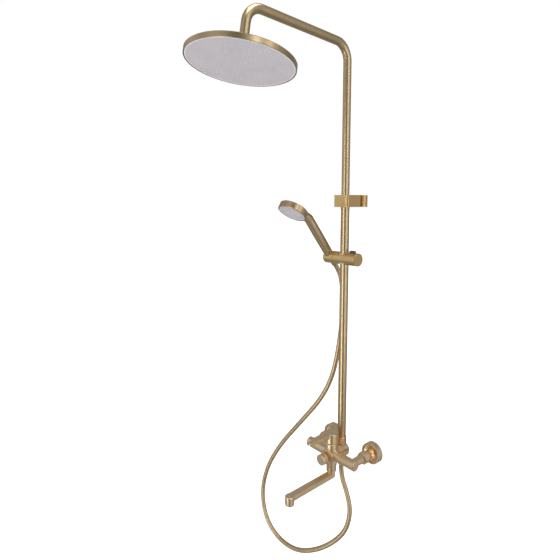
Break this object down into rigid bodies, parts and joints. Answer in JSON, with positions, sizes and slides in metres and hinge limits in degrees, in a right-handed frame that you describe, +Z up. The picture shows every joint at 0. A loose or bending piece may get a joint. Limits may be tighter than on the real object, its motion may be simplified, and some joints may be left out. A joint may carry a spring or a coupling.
{
  "type": "shower column",
  "caption": "Wall-mounted rainfall shower column: lever bath mixer with swivel spout, telescopic riser, rain head and a sliding hand shower on a hose.",
  "frame": {"origin": "on the wall, midway between the two water inlets, at the height of the mixer body's axis", "axes": "+X along the wall to the right as seen from the room, +Y into the wall, +Z up"},
  "size_m": [0.4423, 0.5496, 1.5615],
  "materials": {
    "brushed_gold": "brushed satin gold plate over brass",
    "brushed_gold_shell": "brushed satin gold plate over moulded plastic",
    "spray_plate": "pale grey moulded plate with soft nozzles",
    "grey_button": "dark grey moulded",
    "white_plastic": "moulded, hidden inside",
    "black_rubber": "seals",
    "bare_brass": "machined, hidden inside",
    "steel": "machined stainless steel",
    "hose_metal": "ribbed metal hose, gold plated"
  },
  "bodies": {
    "root": {"wall_escutcheons": "brushed_gold", "inlet_unions": "brushed_gold", "inlet_washers": "black_rubber", "union_nuts": "brushed_gold", "mixer_body": "brushed_gold", "body_end_caps": "brushed_gold", "cartridge_gasket": "black_rubber", "cartridge_body": "white_plastic", "cartridge_nut": "bare_brass", "diverter_cartridge": "white_plastic", "diverter_nut": "bare_brass", "spout_nut": "brushed_gold", "hose_nipple": "bare_brass", "riser_nut": "brushed_gold", "riser_lower_tube": "brushed_gold", "riser_seal": "black_rubber", "bracket_block": "brushed_gold", "bracket_front_cap": "brushed_gold", "bracket_base": "brushed_gold", "bracket_grub_screw": "steel", "hose_outlet_nut": "brushed_gold", "shower_hose": "hose_metal"},
    "lever_turntable": {"cartridge_rotor": "white_plastic", "stem_pin": "steel"},
    "lever": {"cartridge_stem": "bare_brass", "mixer_lever": "brushed_gold", "lever_grub_screw": "steel", "lever_index_plug": "brushed_gold_shell"},
    "diverter": {"diverter_spindle": "bare_brass", "diverter_knob": "brushed_gold", "knob_grub_screw": "steel"},
    "spout": {"spout": "brushed_gold", "spout_seal": "black_rubber", "aerator_housing": "brushed_gold", "aerator_insert": "white_plastic"},
    "riser_guide": {"riser_guide_bush": "white_plastic"},
    "arm": {"riser_upper_tube": "brushed_gold", "arm_ball_nipple": "brushed_gold"},
    "ball_ring": {"ball_seat": "white_plastic"},
    "rain_head": {"ball_nut": "brushed_gold", "rain_head_shell": "brushed_gold", "rain_head_gasket": "black_rubber", "rain_head_face": "spray_plate"},
    "slider": {"slider_body": "brushed_gold", "slider_bush": "white_plastic", "slider_brake": "white_plastic", "slider_end_cap": "brushed_gold", "holder_pivot_pin": "steel", "holder_washer": "white_plastic", "button_spring": "steel"},
    "release_button": {"release_button": "grey_button"},
    "holder": {"handset_holder": "brushed_gold"},
    "handset": {"handset_handle": "brushed_gold_shell", "handset_waterway": "white_plastic", "handset_bezel": "brushed_gold_shell", "handset_face": "spray_plate", "handset_thread_insert": "bare_brass", "handset_washer": "black_rubber", "hose_cone_nut": "brushed_gold"}
  },
  "joints": [
    {"name": "lever_turn", "type": "hinge", "parent": "root", "child": "lever_turntable", "pos_m": [0, -0.1, 0.024], "axis": [0, 0, 1], "range_deg": [-50, 50]},
    {"name": "lever_lift", "type": "hinge", "parent": "lever_turntable", "child": "lever", "pos_m": [0, -0.1, 0.024], "axis": [-1, 0, 0], "range_deg": [0, 15]},
    {"name": "diverter_turn", "type": "hinge", "parent": "root", "child": "diverter", "pos_m": [0, -0.1, -0.004], "axis": [0, 1, 0], "range_deg": [-90, 90]},
    {"name": "spout_swivel", "type": "hinge", "parent": "root", "child": "spout", "pos_m": [0, -0.1, -0.065], "axis": [0, 0, 1], "range_deg": [-80, 80]},
    {"name": "riser_height", "type": "slide", "parent": "root", "child": "riser_guide", "axis": [0, 0, 1], "range_m": [-0.1, 0.15]},
    {"name": "arm_swivel", "type": "hinge", "parent": "riser_guide", "child": "arm", "pos_m": [0, -0.057, 0.722], "axis": [0, 0, 1], "range_deg": [-45, 45]},
    {"name": "head_pitch", "type": "hinge", "parent": "arm", "child": "ball_ring", "pos_m": [0, -0.40468, 1.05214], "axis": [1, 0, 0], "range_deg": [-12, 12]},
    {"name": "head_roll", "type": "hinge", "parent": "ball_ring", "child": "rain_head", "pos_m": [0, -0.40468, 1.05214], "axis": [0, -0.986, 0.1668], "range_deg": [-12, 12]},
    {"name": "slider_height", "type": "slide", "parent": "root", "child": "slider", "axis": [0, 0, 1], "range_m": [-0.35, 0.11], "deforming": ["shower_hose"]},
    {"name": "button_press", "type": "slide", "parent": "slider", "child": "release_button", "axis": [0, 0, -1], "range_m": [0, 0.003], "stiffness_N_per_m": 500, "springref_m": -0.002, "deforming": ["button_spring"]},
    {"name": "holder_tilt", "type": "hinge", "parent": "slider", "child": "holder", "pos_m": [-0.052, -0.057, 0.562], "axis": [1, 0, 0], "range_deg": [-35, 35], "deforming": ["shower_hose"]},
    {"name": "handset_lift", "type": "slide", "parent": "holder", "child": "handset", "axis": [0, -0.628, 0.7782], "range_m": [0, 0.055], "deforming": ["shower_hose"]}
  ]
}
